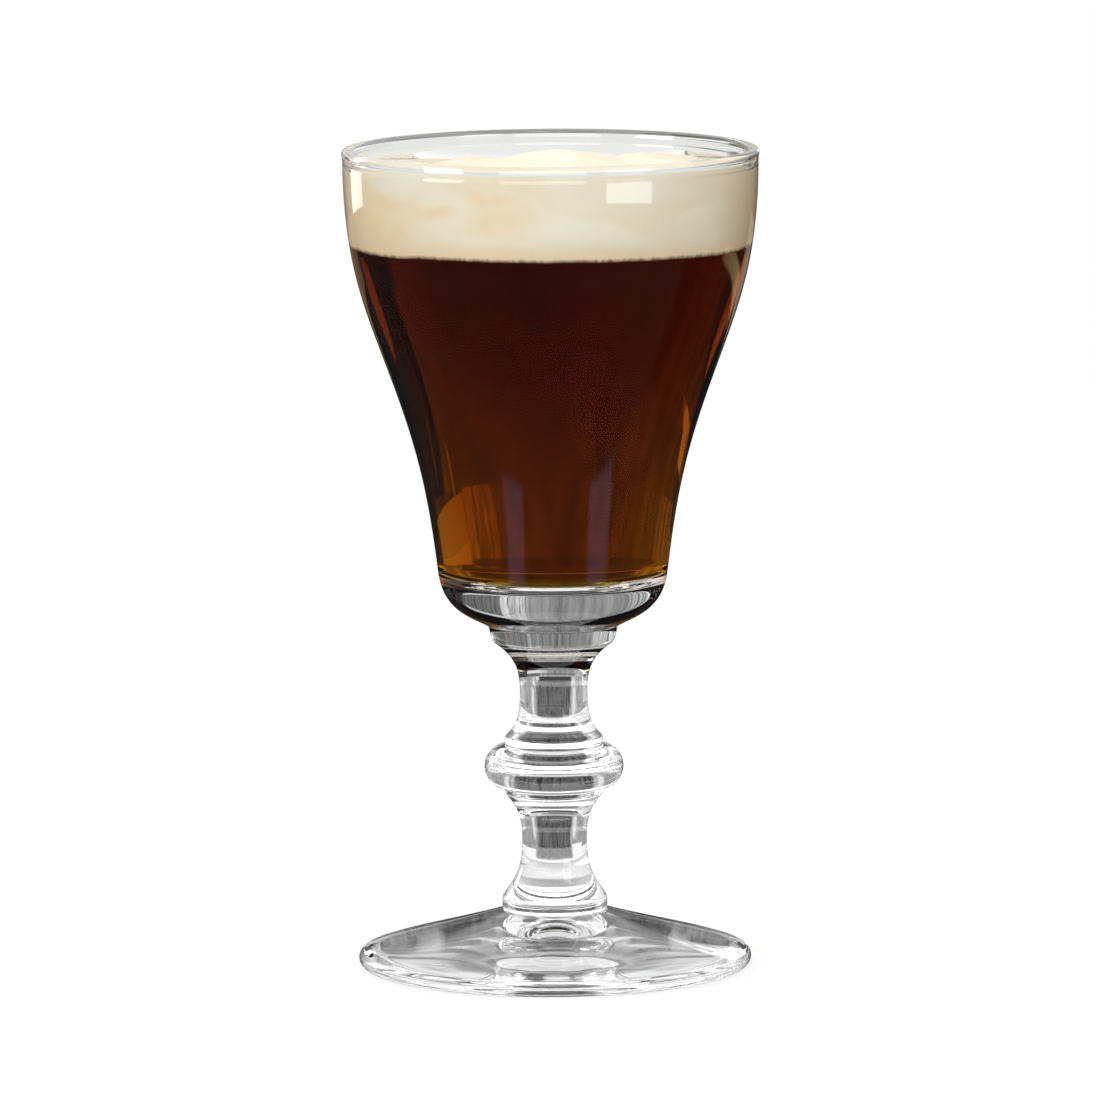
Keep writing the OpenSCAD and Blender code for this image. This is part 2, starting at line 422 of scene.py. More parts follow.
# %% [markdown]
# The foot is a low cone with a rounded edge. It is hollow underneath, so that it
# stands on a flat ring and doesn't rock. Its top face ends where the stem begins.

# %% Turn the foot
RING_ROUND = 0.6 * MM
EDGE_ROUND = 0.7 * MM
TOP_PULL = 0.33
EDGE_PULL = 0.13


def foot_outline():
    """From the middle of the top face over the edge to the middle of the hollow."""
    edge_r = FOOT_R - FOOT_EDGE_ROUND
    hollow_r = edge_r - REST_RING_W
    top_w = edge_r - BASE_RING_R
    top = (BASE_RING_R, FOOT_TOP)
    edge = (edge_r, FOOT_EDGE_T)
    pull_a = (top[0] + top_w * TOP_PULL, top[1] - math.tan(FOOT_TOP_SLOPE) * top_w * TOP_PULL)
    pull_b = (edge[0] - top_w * EDGE_PULL, edge[1] + math.tan(FOOT_RIM_SLOPE) * top_w * EDGE_PULL)
    points = [(0, FOOT_TOP)] + line((0, FOOT_TOP), top, 6)
    points += curve(top, pull_a, pull_b, edge, 40)
    points += arc((edge_r, FOOT_EDGE_T / 2), FOOT_EDGE_ROUND, FOOT_EDGE_T / 2, 90, -90)[1:]
    points += line((edge_r, 0), (hollow_r, 0), 4)
    pull_low = (hollow_r * 0.65, HOLLOW_RISE)
    pull_high = (hollow_r * 0.2, HOLLOW_H)
    points += curve((hollow_r, 0), pull_low, pull_high, (0, HOLLOW_H), 40)
    points = soften(points, (hollow_r, 0), RING_ROUND)
    return soften(points, edge, EDGE_ROUND)


foot = spin_piece("foot_glass", foot_outline(), FULL_TURN_SIDES, pressed_glass)


# %% [markdown]
# The stem is pressed in one piece: a ring, a neck, a round knop between two small
# rings, a second neck, and the collar that carries the bowl. It is solid, so it works
# like a stack of lenses, and its bright and dark bands come from this outline alone.

# %% Turn the stem
PRESSED_ROUND = 0.35 * MM
LOWER_WAIST = 0.57
UPPER_WAIST = 0.45


def flare(start, end, run, rise, hold, steps=26):
    """A neck's sweep from a ring to its waist."""
    pull_a = (start[0] + (end[0] - start[0]) * run, start[1] + (end[1] - start[1]) * rise)
    pull_b = (end[0], end[1] + (start[1] - end[1]) * hold)
    return curve(start, pull_a, pull_b, end, steps)


def stem_outline():
    """From the middle of the lower face, up the side, to the middle of the upper face."""
    low_neck_z = FOOT_TOP + BASE_RING_H
    low_ring_z = low_neck_z + LOWER_NECK_L
    knop_z = low_ring_z + LOWER_RING_H
    high_ring_z = knop_z + KNOP_H
    high_neck_z = high_ring_z + UPPER_RING_H
    collar_z = high_neck_z + UPPER_NECK_L
    base = (BASE_RING_R, low_neck_z)
    low_waist = (LOWER_NECK_R, low_neck_z + LOWER_NECK_L * LOWER_WAIST)
    low_ring = (KNOP_RING_R, low_ring_z)
    high_ring = (KNOP_RING_R, high_neck_z)
    high_waist = (UPPER_NECK_R, high_neck_z + UPPER_NECK_L * UPPER_WAIST)
    collar = (COLLAR_FOOT_R, collar_z)
    points = [(0, FOOT_TOP)] + line((0, FOOT_TOP), (BASE_RING_R, FOOT_TOP), 5)
    points += line((BASE_RING_R, FOOT_TOP), base, 5)
    points += flare(base, low_waist, 0.74, 0.36, 0.5)
    points += flare(low_ring, low_waist, 0.76, 0.3, 0.42)[-2::-1] + [low_ring]
    points += line(low_ring, (KNOP_RING_R, knop_z), 3)
    points += arc((KNOP_RING_R, knop_z + KNOP_H / 2), KNOP_R - KNOP_RING_R, KNOP_H / 2, -90, 90, 44)[1:]
    points += line((KNOP_RING_R, high_ring_z), high_ring, 4)
    points += flare(high_ring, high_waist, 0.74, 0.2, 0.5)
    points += flare(collar, high_waist, 0.84, 0.3, 0.46)[-2::-1] + [collar]
    points += line(collar, (COLLAR_R, BOWL_BASE), 6)
    points += line((COLLAR_R, BOWL_BASE), (0, BOWL_BASE), 6)
    knop_low = (KNOP_RING_R, knop_z)
    knop_high = (KNOP_RING_R, high_ring_z)
    for corner in (base, low_ring, knop_low, knop_high, high_ring, collar):
        points = soften(points, corner, PRESSED_ROUND)
    return points


stem = spin_piece("stem_glass", stem_outline(), STEM_SIDES, pressed_glass)


# %% [markdown]
# The bowl is thin at the lip and solid at its base. Its outside is three sweeps, and
# its inside is the same sweeps moved inwards by the wall, down to a rounded floor. The
# lip is a little thicker than the wall and fully round, because it was melted smooth.

# %% Turn the bowl
LIP_PULL = 0.476
FLANK_PULL_UP = 0.343
FLANK_PULL_DOWN = 0.357
HEEL_PULL_UP = 0.393
HEEL_PULL_DOWN = 0.74
SEAT_PULL = 0.2
FLOOR_PULL = 0.85


def along_wall(lean, rise):
    """The step out and up along a leaning wall."""
    return (math.tan(lean) * rise, rise)


def bowl_sweeps():
    """The two upper sweeps of the outside, from the lip down to the heel."""
    top = (WALL_R, WALL_TOP_Z)
    flank = (FLANK_R, FLANK_Z)
    heel = (HEEL_R, HEEL_Z)
    drop = WALL_TOP_Z - FLANK_Z
    fall = FLANK_Z - HEEL_Z
    out, up = along_wall(FLANK_LEAN, drop * FLANK_PULL_UP)
    pull_top = (WALL_R, WALL_TOP_Z - drop * LIP_PULL)
    upper = [top] + curve(top, pull_top, (FLANK_R + out, FLANK_Z + up), flank, 36)
    out_a, up_a = along_wall(FLANK_LEAN, fall * FLANK_PULL_DOWN)
    out_b, up_b = along_wall(HEEL_LEAN, fall * HEEL_PULL_UP)
    lower = curve(flank, (FLANK_R - out_a, FLANK_Z - up_a), (HEEL_R + out_b, HEEL_Z + up_b), heel, 30)
    return upper + lower


def moved_in(points, distance):
    """A downward outline moved towards the axis, square to its own direction."""
    moved = []
    for i, point in enumerate(points):
        a = points[max(i - 1, 0)]
        b = points[min(i + 1, len(points) - 1)]
        size = math.dist(a, b)
        across = distance * (b[1] - a[1]) / size
        along = distance * (b[0] - a[0]) / size
        moved.append((point[0] + across, point[1] - along))
    return moved


OUTSIDE = bowl_sweeps()
INSIDE = moved_in(OUTSIDE, WALL_T)


def inner_radius(z):
    """Radius of the bowl's inner wall at a height."""
    for (r_a, z_a), (r_b, z_b) in zip(INSIDE, INSIDE[1:]):
        if z_b <= z <= z_a:
            return r_b + (r_a - r_b) * (z - z_b) / (z_a - z_b)
    return INSIDE[0][0] if z > INSIDE[0][1] else INSIDE[-1][0]


FLOOR_EDGE_Z = FLOOR_Z + FLOOR_ROUND_H
FLOOR_EDGE_R = inner_radius(FLOOR_EDGE_Z)


def floor_sweep(steps=26):
    """The floor of the bowl, from the end of the wall to the axis."""
    inwards, down = along_wall(HEEL_LEAN, FLOOR_ROUND_H * FLOOR_PULL)
    edge = (FLOOR_EDGE_R, FLOOR_EDGE_Z)
    pull_edge = (edge[0] - inwards, edge[1] - down)
    return curve(edge, pull_edge, (FLOOR_EDGE_R * 0.8, FLOOR_Z), (0, FLOOR_Z), steps)


def bowl_outline():
    """From the middle of the seat up the outside, over the lip, to the middle of the floor."""
    seat = (COLLAR_R, BOWL_BASE)
    heel = (HEEL_R, HEEL_Z)
    out_a, down = along_wall(HEEL_LEAN, HEEL_H * HEEL_PULL_DOWN)
    out_b, up = along_wall(SEAT_LEAN, HEEL_H * SEAT_PULL)
    bottom = curve(heel, (HEEL_R - out_a, HEEL_Z - down), (COLLAR_R + out_b, BOWL_BASE + up), seat, 30)
    lean = math.degrees(math.acos(WALL_T / 2 / LIP_R))
    points = [(0, BOWL_BASE)] + line((0, BOWL_BASE), seat, 6)
    points += bottom[-2::-1]
    points += OUTSIDE[::-1]
    points += arc((WALL_R - WALL_T / 2, LIP_Z), LIP_R, LIP_R, -lean, 180 + lean, 28)[1:-1]
    points += [p for p in INSIDE if p[1] > FLOOR_EDGE_Z]
    points += [(FLOOR_EDGE_R, FLOOR_EDGE_Z)] + floor_sweep()
    return points


bowl = spin_piece("bowl_glass", bowl_outline(), FULL_TURN_SIDES, blown_glass)


# %% [markdown]
# Where the stem is fused to the bowl and to the foot, the real glass runs on without
# a surface, and where the drink wets the bowl, light goes from glass straight into the
# drink. A second material that shows nothing goes on those faces. Without it there
# would be a film of air in each joint, which mirrors light and looks wrong.

# %% Open the fused and wetted faces
HAIR = 0.01 * MM


def mark_fused(piece, is_fused):
    """Puts the unseen material on the faces that a test picks."""
    piece.data.materials.append(fused_face)
    picked = 0
    for face in piece.data.polygons:
        if is_fused(face.center, face.normal):
            face.material_index = len(piece.data.materials) - 1
            picked += 1
    print(piece.name, "fused faces", picked)


def flat_at(height):
    """A test for level faces at one height."""
    return lambda centre, normal: abs(centre.z - height) < HAIR and abs(normal.z) > 0.99


def wetted(centre, normal):
    """Picks the inner faces that the drink touches."""
    inside = normal.x * centre.x + normal.y * centre.y < 0 or normal.z > 0.5
    return FLOOR_Z - HAIR < centre.z < CREAM_Z and inside


mark_fused(foot, flat_at(FOOT_TOP))
mark_fused(stem, lambda c, n: flat_at(FOOT_TOP)(c, n) or flat_at(BOWL_BASE)(c, n))
mark_fused(bowl, lambda c, n: flat_at(BOWL_BASE)(c, n) or wetted(c, n))

# %% [markdown]
# Coffee and cream are both rings of points stacked from the middle of one face over
# the edge to the middle of the other. Their shared edge isn't level: the cream hangs
# a little lower in places, so its height is a function of the angle that both pieces
# use. The drink stays a hair inside the wall, so that no two faces share a place.

# %% Shapes of the drink
SKIN = 0.02 * MM
SIDES = 224
FRONT_LIFT = 1.2 * MM
SIDE_LIFT = 0.9
WANDER = 0.3
RIPPLE = 0.12


def split_height(angle):
    """Height of the edge between coffee and cream, at an angle round the glass."""
    place = Vector((math.cos(angle), math.sin(angle), 0))
    wander = noise.noise(place * 1.6 + Vector((3.1, 0.4, 7.7)))
    ripple = noise.noise(place * 9.0 + Vector((0.3, 5.2, 1.9)))
    front = max(0.0, -math.sin(angle)) ** 0.8
    sides = abs(math.cos(angle)) ** 14
    return SPLIT_Z + FRONT_LIFT * front + (SIDE_LIFT * sides + WANDER * wander + RIPPLE * ripple) * MM


# Place across and back and size, as shares of the radius, and height in mm.
MOUNDS = (
    (0.06, 0.42, 0.5, 2.7),
    (0.52, 0.5, 0.4, 1.9),
    (-0.4, 0.62, 0.26, 1.3),
    (-0.72, 0.2, 0.26, 1.1),
    (0.2, -0.3, 0.7, 0.8),
)
CREAM_BACK_Z = CREAM_Z - 2.3 * MM
CREAM_FRONT_Z = CREAM_Z + 0.5 * MM
BRIM_Z = WALL_TOP_Z - 0.1 * MM
IN_MM = 1000
DRINK_CREASE = math.radians(50)
print("mounds on the cream:", len(MOUNDS))


def cream_edge(angle):
    """Height at which the cream's top meets the wall: at the lip in front, lower behind."""
    front = 0.5 - 0.5 * math.sin(angle)
    return CREAM_BACK_Z + (BRIM_Z - CREAM_BACK_Z) * min(1.0, front * 1.35) ** 0.7


def cream_height(share, angle):
    """Height of the cream's top, with its soft mounds and small lumps."""
    full = inner_radius(CREAM_Z)
    x = share * math.cos(angle)
    y = share * math.sin(angle)
    height = 0.0
    for across, back, size, tall in MOUNDS:
        near = math.hypot(x - across, y - back) / size
        if near < 1:
            height = max(height, tall * MM * (1 - near ** 2) ** 1.5)
    place = Vector((x * full, y * full, 0)) * IN_MM
    lumps = noise.noise(place * 0.12) * 0.5 + noise.noise(place * 0.35) * 0.25
    lumps = lumps + noise.noise(place * 1.1) * 0.06
    plain = CREAM_BACK_Z + (CREAM_FRONT_Z - CREAM_BACK_Z) * (0.5 - 0.5 * y)
    inner = plain + height + lumps * MM
    hug = min(1.0, max(0.0, (share - 0.86) / 0.14)) ** 2
    return inner + (cream_edge(angle) - inner) * hug


def stack_rings(name, rows, material):
    """A closed piece from rows of points; each row is a function of the angle."""
    corners = []
    for row in rows:
        for k in range(SIDES):
            angle = math.tau * k / SIDES
            radius, height = row(angle)
            corners.append((radius * math.cos(angle), radius * math.sin(angle), height))
    faces = []
    for low in range(0, len(corners) - SIDES, SIDES):
        for k in range(SIDES):
            after = low + (k + 1) % SIDES
            faces.append((low + k, after, after + SIDES, low + k + SIDES))
    mesh = bpy.data.meshes.new(name)
    mesh.from_pydata(corners, [], faces)
    close_up(mesh, SEAM_GAP)
    mesh.shade_smooth()
    mesh.materials.append(material)
    mesh.set_sharp_from_angle(angle=DRINK_CREASE)
    return add_object(name, mesh)


def wall_row(share, low, high):
    """A row on the bowl's wall, a share of the way between two heights."""
    def at(angle):
        bottom = low(angle) if callable(low) else low
        top = high(angle) if callable(high) else high
        height = bottom + (top - bottom) * share
        return inner_radius(height) - SKIN, height
    return at


def split_row(share, lift):
    """A row on the face between coffee and cream, level in the middle."""
    def at(angle):
        edge = split_height(angle)
        height = SPLIT_Z + (edge - SPLIT_Z) * share ** 3 + lift
        return (inner_radius(edge) - SKIN) * share, height
    return at


# %% [markdown]
# Coffee is clear but strongly coloured. It takes most of the blue, much of the green
# and little of the red out of the light, and more the further the light goes: nearly
# black through the middle, red-brown lower down where the bowl is narrow, and amber
# at the very edge. That is what a volume that absorbs does, so its surface has no
# colour at all. The surface bends light by the index of water over that of glass,
# because light comes to it out of the glass.

# %% The coffee
WATER_OVER_GLASS = 1.333 / GLASS_IOR
COFFEE_TINT = (0.865, 0.7, 0.0, 1)
COFFEE_DENSITY = 300.0


def make_coffee():
    """A clear surface round a volume that absorbs."""
    material, tree, out = new_material("black_coffee")
    values = {"Color": (1, 1, 1, 1), "Roughness": 0.0, "IOR": WATER_OVER_GLASS}
    surface = new_node(tree, "ShaderNodeBsdfGlass", values)
    values = {"Color": COFFEE_TINT, "Density": COFFEE_DENSITY}
    inside = new_node(tree, "ShaderNodeVolumeAbsorption", values)
    wire(surface, "BSDF", out, "Surface")
    wire(inside, "Volume", out, "Volume")
    return material


black_coffee = make_coffee()
floor_points = floor_sweep(20)[::-1]
coffee_rows = [
    lambda angle, p=p: (max(p[0] - SKIN, 0) if p[0] > SKIN else 0, p[1] + SKIN)
    for p in floor_points
]
coffee_rows += [wall_row(i / 60, FLOOR_EDGE_Z, split_height) for i in range(61)]
coffee_rows += [split_row(i / 8, -SKIN) for i in range(7, -1, -1)]
coffee = stack_rings("coffee_fill", coffee_rows, black_coffee)

# %% [markdown]
# The cream is opaque, ivory and uneven. Warmer tan patches and paler patches lie
# over it, and towards its lowest edge it is painted darker and warmer as shade. That
# edge is stained brown in a soft, ragged line. Light sinks a little way into it.

# %% The cream
def vector_step(tree, operation, source, values=None):
    """One vector operation on what comes out of a socket."""
    node = new_node(tree, "ShaderNodeVectorMath", values, operation)
    join(source, node.inputs[0])
    return node


def spot(tree, place, centre, size):
    """1 at a place on the piece, falling to 0 at a size away from it; both in mm."""
    shift = vector_step(tree, "SUBTRACT", place, {1: [c * MM for c in centre]})
    shrink = vector_step(tree, "DIVIDE", shift.outputs["Vector"], {1: [s * MM for s in size]})
    length = vector_step(tree, "LENGTH", shrink.outputs["Vector"])
    return spread(tree, length.outputs["Value"], 1.0, 0.0, 0.0, 1.0)


def wobbled(tree, amount, scale):
    """Object coordinates pushed about by noise, so that spots get ragged edges."""
    source = new_node(tree, "ShaderNodeTexCoord")
    texture = noise_texture(tree, source.outputs["Object"], scale)
    centred = vector_step(tree, "SUBTRACT", texture.outputs["Color"], {1: (0.5, 0.5, 0.5)})
    push = vector_step(tree, "SCALE", centred.outputs["Vector"], {"Scale": amount})
    add = vector_step(tree, "ADD", push.outputs["Vector"])
    wire(source, "Object", add, 1)
    return add.outputs["Vector"]


PEACH = (0.915, 0.82, 0.63)
TAN = (0.9, 0.7, 0.43)
IVORY = (0.935, 0.872, 0.715)
PALE = (0.95, 0.912, 0.79)
STAIN = (0.12, 0.05, 0.02)

# Tan and pale patches on the cream. Two large tan ones lie over its left and right sides, and the pale
# ones lie on its front.
# Centres and reaches in mm, as seen on the front of the glass.
TAN_SPOTS = (
    ((-37.0, -8, 131.0), (14, 30, 16.0)),
    ((37.0, -8, 131.0), (14, 30, 16.0)),
    ((-31.0, -14, 131.0), (13, 20, 8.0)),
    ((-26.5, -21, 135.5), (7, 9, 2.6)),
    ((-10.5, -32, 136.8), (6, 9, 1.7)),
    ((-8.0, -33, 133.5), (7, 9, 4.5)),
    ((-25.0, -23, 130.0), (2.2, 9, 2.6)),
    ((-19.0, -28, 134.5), (5, 9, 1.6)),
    ((33.0, -10, 131.5), (9, 14, 10.0)),
)
PALE_SPOTS = (
    ((-24.0, -24, 138.6), (11, 12, 2.8)),
    ((2.0, -34, 131.5), (15, 12, 3.6)),
    ((14.0, -31, 137.5), (14, 12, 3.0)),
)


def make_cream():
    """Ivory with tan and pale drifts, painted shade towards the lower edge, a stained lower edge and
    fine bubbles.
    """
    material, tree, out = new_material("whipped_cream")
    cream = new_node(tree, "ShaderNodeBsdfPrincipled", {
        "Roughness": 0.5,
        "IOR": 1.35,
        "Specular IOR Level": 0.1,
        "Subsurface Weight": 0.3,
        "Subsurface Radius": (1.0, 0.7, 0.4),
        "Subsurface Scale": 1.2 * MM,
    })
    plain = object_place(tree, (1, 1, 1))
    ragged = wobbled(tree, 5 * MM, 130)
    broad = noise_value(tree, object_place(tree, (1, 1, 2.6)), 55, detail=4.0, distortion=1.4)
    tone = blend_colours(tree, spread(tree, broad, 0.38, 0.6, 0, 1), PEACH, IVORY)
    for centre, size in TAN_SPOTS:
        share = spread(tree, spot(tree, ragged, centre, size), 0, 1, 0, 0.8)
        tone = blend_colours(tree, share, tone, TAN)
    for centre, size in PALE_SPOTS:
        share = spread(tree, spot(tree, ragged, centre, size), 0, 1, 0, 0.9)
        tone = blend_colours(tree, share, tone, PALE)
    fine = noise_value(tree, plain, 160, detail=4.0)
    tone = blend_colours(tree, spread(tree, fine, 0.35, 0.8, 0, 0.3), tone, PALE)
    rise = new_node(tree, "ShaderNodeAttribute")
    rise.attribute_name = "rise"
    # Painted shade: over the lowest 3.5 mm above the coffee, the cream is painted warmer and darker, up
    # to 0.75 of the way to tan at its lowest edge.
    tone = blend_colours(tree, spread(tree, rise.outputs["Fac"], 0.2, 3.5, 0.75, 0.0), tone, TAN)
    hairs = noise_value(tree, object_place(tree, (1, 1, 0.12)), 1500, detail=3.0, roughness=0.6)
    reach = new_node(tree, "ShaderNodeMath", operation="SUBTRACT")
    wire(rise, "Fac", reach, 0)
    join(spread(tree, hairs, 0.3, 0.7, -0.1, 0.35), reach.inputs[1])
    tone = blend_colours(tree, spread(tree, reach.outputs[0], -0.15, 0.5, 1.0, 0.0), tone, STAIN)
    join(tone, cream.inputs["Base Color"])
    add_bump(tree, noise_value(tree, plain, 420, detail=4.0), 0.3, 0.3 * MM, cream)
    wire(cream, "BSDF", out, "Surface")
    return material


whipped_cream = make_cream()


def top_row(share):
    """A row on the cream's top, at a share of the way out to the wall."""
    def at(angle):
        edge_r = inner_radius(cream_edge(angle)) - SKIN
        return edge_r * share, cream_height(share, angle)
    return at


def cream_foot(angle):
    """Height of the cream's lower edge."""
    return split_height(angle) + SKIN


cream_rows = [split_row(i / 8, SKIN) for i in range(9)]
cream_rows += [wall_row(i / 24, cream_foot, cream_edge) for i in range(1, 25)]
cream_rows += [top_row(i / 72) for i in range(71, -1, -1)]
cream = stack_rings("cream_layer", cream_rows, whipped_cream)
rise = cream.data.attributes.new("rise", "FLOAT", "POINT")
for vertex, entry in zip(cream.data.vertices, rise.data):
    turn = math.atan2(vertex.co.y, vertex.co.x)
    entry.value = (vertex.co.z - split_height(turn)) / MM

# %% [markdown]
# Every piece rides on a body, and the solid that it stands for is hidden. The glass
# stands still, so there is one body.

# %% Put the pieces on the frame
for piece, node, slot in (
    (foot, "foot", "clear_glass"),
    (stem, "stem", "clear_glass"),
    (bowl, "bowl", "clear_glass"),
    (coffee, "coffee", "coffee"),
    (cream, "cream", "cream"),
):
    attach(piece, BODY)
    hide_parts(node)

# %% [markdown]
# Glass shows its surroundings, so the studio matters as much as the material. The
# camera sees a white floor against a white world. The world that glass mirrors or
# bends into view is a little less than white, so that its edges stay readable.

# %% Floor and world
FLOOR_R = 6.0
FLOOR_TOP = -0.2 * MM
FLOOR_PAINT = (0.92, 0.92, 0.92, 1)
FLOOR_GLOW = 1.03
FLOOR_GLOW_SHARE = 0.78
WORLD_TINT = (1.0, 0.99, 0.97, 1)
WORLD_IN_GLASS = 0.8


def make_table_material(name, tone):
    """Plain dark light, for the table that only mirrored light sees."""
    material, tree, out = new_material(name)
    glow = new_node(tree, "ShaderNodeEmission", {"Color": (1, 1, 1, 1), "Strength": tone})
    wire(glow, "Emission", out, "Surface")
    return material


def make_floor_material():
    """White, with the object's soft shadow in it."""
    material, tree, out = new_material("studio_floor")
    paint = new_node(tree, "ShaderNodeBsdfDiffuse", {"Color": FLOOR_PAINT})
    glow = new_node(tree, "ShaderNodeEmission", {"Strength": FLOOR_GLOW})
    mix = new_node(tree, "ShaderNodeMixShader", {"Fac": FLOOR_GLOW_SHARE})
    wire(paint, "BSDF", mix, 1)
    wire(glow, "Emission", mix, 2)
    wire(mix, "Shader", out, "Surface")
    return material


def disc(name, radius, height, material, sides=96):
    """A flat round sheet that faces up."""
    mesh = bpy.data.meshes.new(name)
    turns = [math.tau * k / sides for k in range(sides)]
    ring = [(radius * math.cos(turn), radius * math.sin(turn), height) for turn in turns]
    mesh.from_pydata(ring, [], [tuple(range(sides))])
    mesh.materials.append(material)
    return add_object(name, mesh)


floor = disc("studio_floor", FLOOR_R, FLOOR_TOP, make_floor_material())

world = bpy.data.worlds.new("studio")
bpy.context.scene.world = world
world.use_nodes = True
world_tree = world.node_tree
world_tree.nodes.clear()
world_out = new_node(world_tree, "ShaderNodeOutputWorld")
seen = new_node(world_tree, "ShaderNodeBackground", {"Color": (1, 1, 1, 1)})
felt = new_node(world_tree, "ShaderNodeBackground", {"Color": WORLD_TINT, "Strength": 1.0})
path = new_node(world_tree, "ShaderNodeLightPath")
either = new_node(world_tree, "ShaderNodeMath", operation="MAXIMUM")
any_of = new_node(world_tree, "ShaderNodeMath", operation="MAXIMUM")
choose = new_node(world_tree, "ShaderNodeMixShader")
brightness = spread(world_tree, path.outputs["Is Camera Ray"], 0, 1, WORLD_IN_GLASS, 1)
join(brightness, seen.inputs["Strength"])
wire(path, "Is Camera Ray", either, 0)
wire(path, "Is Glossy Ray", either, 1)
wire(either, 0, any_of, 0)
wire(path, "Is Transmission Ray", any_of, 1)
wire(any_of, 0, choose, "Fac")
wire(felt, "Background", choose, 1)
wire(seen, "Background", choose, 2)
wire(choose, "Shader", world_out, "Surface")
print("world nodes:", len(world_tree.nodes))

# %% [markdown]
# White on every side would leave the glass without an outline, and would hang a grey
# veil of mirrored light over the coffee. In a studio, cards prevent this. Flags stand
# behind the glass, and what it bends into view from them draws its grey bands. Gleams
# are thin bright cards that draw light lines. Each card is a curved sheet round the
# glass that the camera and diffuse light don't see. A card works either through the
# glass, on light that comes through it, or only on light that its surface mirrors.
# Angles are measured from straight behind the glass, to the right as positive.

# %% Helpers for cards
def show_only(thing, glossy, through):
    """Hides a stage piece from everything but mirrored or refracted light."""
    thing.visible_camera = False
    thing.visible_diffuse = False
    thing.visible_shadow = False
    thing.visible_volume_scatter = False
    thing.visible_glossy = glossy
    thing.visible_transmission = through


MIRRORED = {"glossy": True, "through": False}
CARD_COLUMNS = 24


def card_material(name, tone, grain, stretch, scale):
    """A glow of one colour with some grain, which fades out at the card's edge."""
    material, tree, out = new_material(name)
    glow = new_node(tree, "ShaderNodeEmission")
    place = object_place(tree, (1, 1, stretch))
    marks = noise_value(tree, place, scale, detail=6.0, roughness=0.7, distortion=0.6)
    marks = spread(tree, marks, 0.35, 0.65, 0, 1)
    low = [part * (1 - grain) for part in tone]
    high = [part * (1 + grain) for part in tone]
    join(blend_colours(tree, marks, low, high), glow.inputs["Color"])
    clear = new_node(tree, "ShaderNodeBsdfTransparent")
    body = new_node(tree, "ShaderNodeAttribute")
    body.attribute_name = "body"
    mix = new_node(tree, "ShaderNodeMixShader")
    wire(body, "Fac", mix, "Fac")
    wire(clear, "BSDF", mix, 1)
    wire(glow, "Emission", mix, 2)
    wire(mix, "Shader", out, "Surface")
    return material


def card(name, sweep, heights, radius, tone, top_sweep=None, soft=(2, 2), grain=0.0, stretch=1.0,
         scale=170, glossy=False, through=True):
    """A curved sheet round the glass, from one angle to another and from low to high in mm.

    Its edge fades out over soft, in degrees and mm, and its top may sweep other angles.
    A pair of radii is for a sheet that leans or lies, from its low edge to its high one.
    """
    top_sweep = top_sweep or sweep
    low_radius, high_radius = radius if isinstance(radius, tuple) else (radius, radius)
    fade_turn = soft[0] / (sweep[1] - sweep[0])
    fade_rise = soft[1] / (heights[1] - heights[0])
    inner = [fade_turn + (1 - 2 * fade_turn) * i / CARD_COLUMNS for i in range(1, CARD_COLUMNS)]
    across = [0, fade_turn] + inner + [1 - fade_turn, 1]
    upward = [0, fade_rise, 1 - fade_rise, 1]
    corners = []
    bodies = []
    for v in upward:
        for u in across:
            start = sweep[0] + (top_sweep[0] - sweep[0]) * v
            end = sweep[1] + (top_sweep[1] - sweep[1]) * v
            turn = math.radians(start + (end - start) * u)
            height = heights[0] + (heights[1] - heights[0]) * v
            reach = low_radius + (high_radius - low_radius) * v
            corners.append((reach * math.sin(turn), reach * math.cos(turn), height * MM))
            bodies.append(0.0 if u in (0, 1) or v in (0, 1) else 1.0)
    wide = len(across)
    faces = [(j * wide + i, j * wide + i + 1, (j + 1) * wide + i + 1, (j + 1) * wide + i)
             for j in range(3) for i in range(wide - 1)]
    mesh = bpy.data.meshes.new(name)
    mesh.from_pydata(corners, [], faces)
    body = mesh.attributes.new("body", "FLOAT", "POINT")
    for entry, value in zip(body.data, bodies):
        entry.value = value
    colour = tone if isinstance(tone, tuple) else (tone,) * 3
    mesh.materials.append(card_material(name, colour, grain, stretch, scale))
    show_only(add_object(name, mesh), glossy, through)
    print("card", name)


# %% The dark studio that mirrored light sees
STUDIO_R = 2.5
STUDIO_TONE = 0.02
TABLE_TOP = -0.05 * MM
card("studio_wall", (-180, 180), (-100, 1100), STUDIO_R, STUDIO_TONE, soft=(0.01, 300), **MIRRORED)
dark_table = disc("dark_table", STUDIO_R, TABLE_TOP, make_table_material("dark_table", STUDIO_TONE))
show_only(dark_table, True, False)

# %% Distances from the axis at which the cards stand
CLOSE = 54 * MM
SCREEN = 60 * MM
NEAR = 80 * MM
RUNNER = 100 * MM
MIDDLE = 300 * MM
FAR = 500 * MM
WINDOW = 550 * MM
SHADE_REACH = (42 * MM, 120 * MM)
HAZE_REACH = (430 * MM, 560 * MM)
print("close cards at", CLOSE, "m, windows at", WINDOW, "m")

# %% [markdown]
# Behind the drink, the high flags make the coffee nearly black through the middle, and
# the open places beside them let it glow red. The middle flags stand lower, where the
# bowl is narrow. Streaks run up and down them, as on a real studio's curtain, and break
# up the brown. The bowl's thick base looks up past them, at the far flags.

